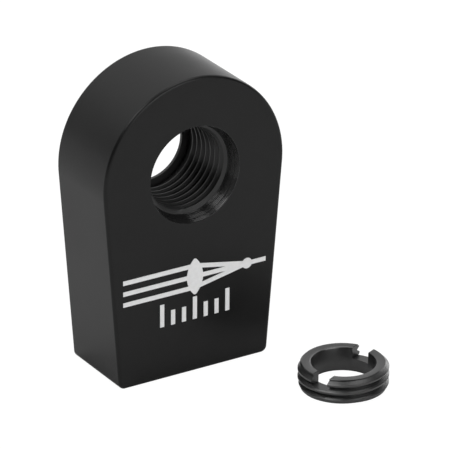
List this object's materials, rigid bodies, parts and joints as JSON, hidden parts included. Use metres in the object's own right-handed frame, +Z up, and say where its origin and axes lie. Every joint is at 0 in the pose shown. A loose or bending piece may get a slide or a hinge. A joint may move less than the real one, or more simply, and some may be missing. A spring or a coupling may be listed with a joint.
{
  "type": "optical lens mount",
  "caption": "Small round-topped block with a threaded lens bore, a tapped post hole in its base and a slotted ring that screws in to hold the lens.",
  "frame": {"origin": "middle of the base, at the mouth of the tapped post hole", "axes": "+Z up through the block, -Y out of the mouth of the lens bore, +X to the right as seen from the front"},
  "size_m": [0.0153, 0.0143, 0.0188],
  "materials": {
    "black_anodised_body": "satin",
    "black_anodised_ring": "satin",
    "white_marking": "matte"
  },
  "bodies": {
    "root": {"mount_body": "black_anodised_body", "retaining_ring": "black_anodised_ring", "face_marking": "white_marking"}
  },
  "joints": []
}
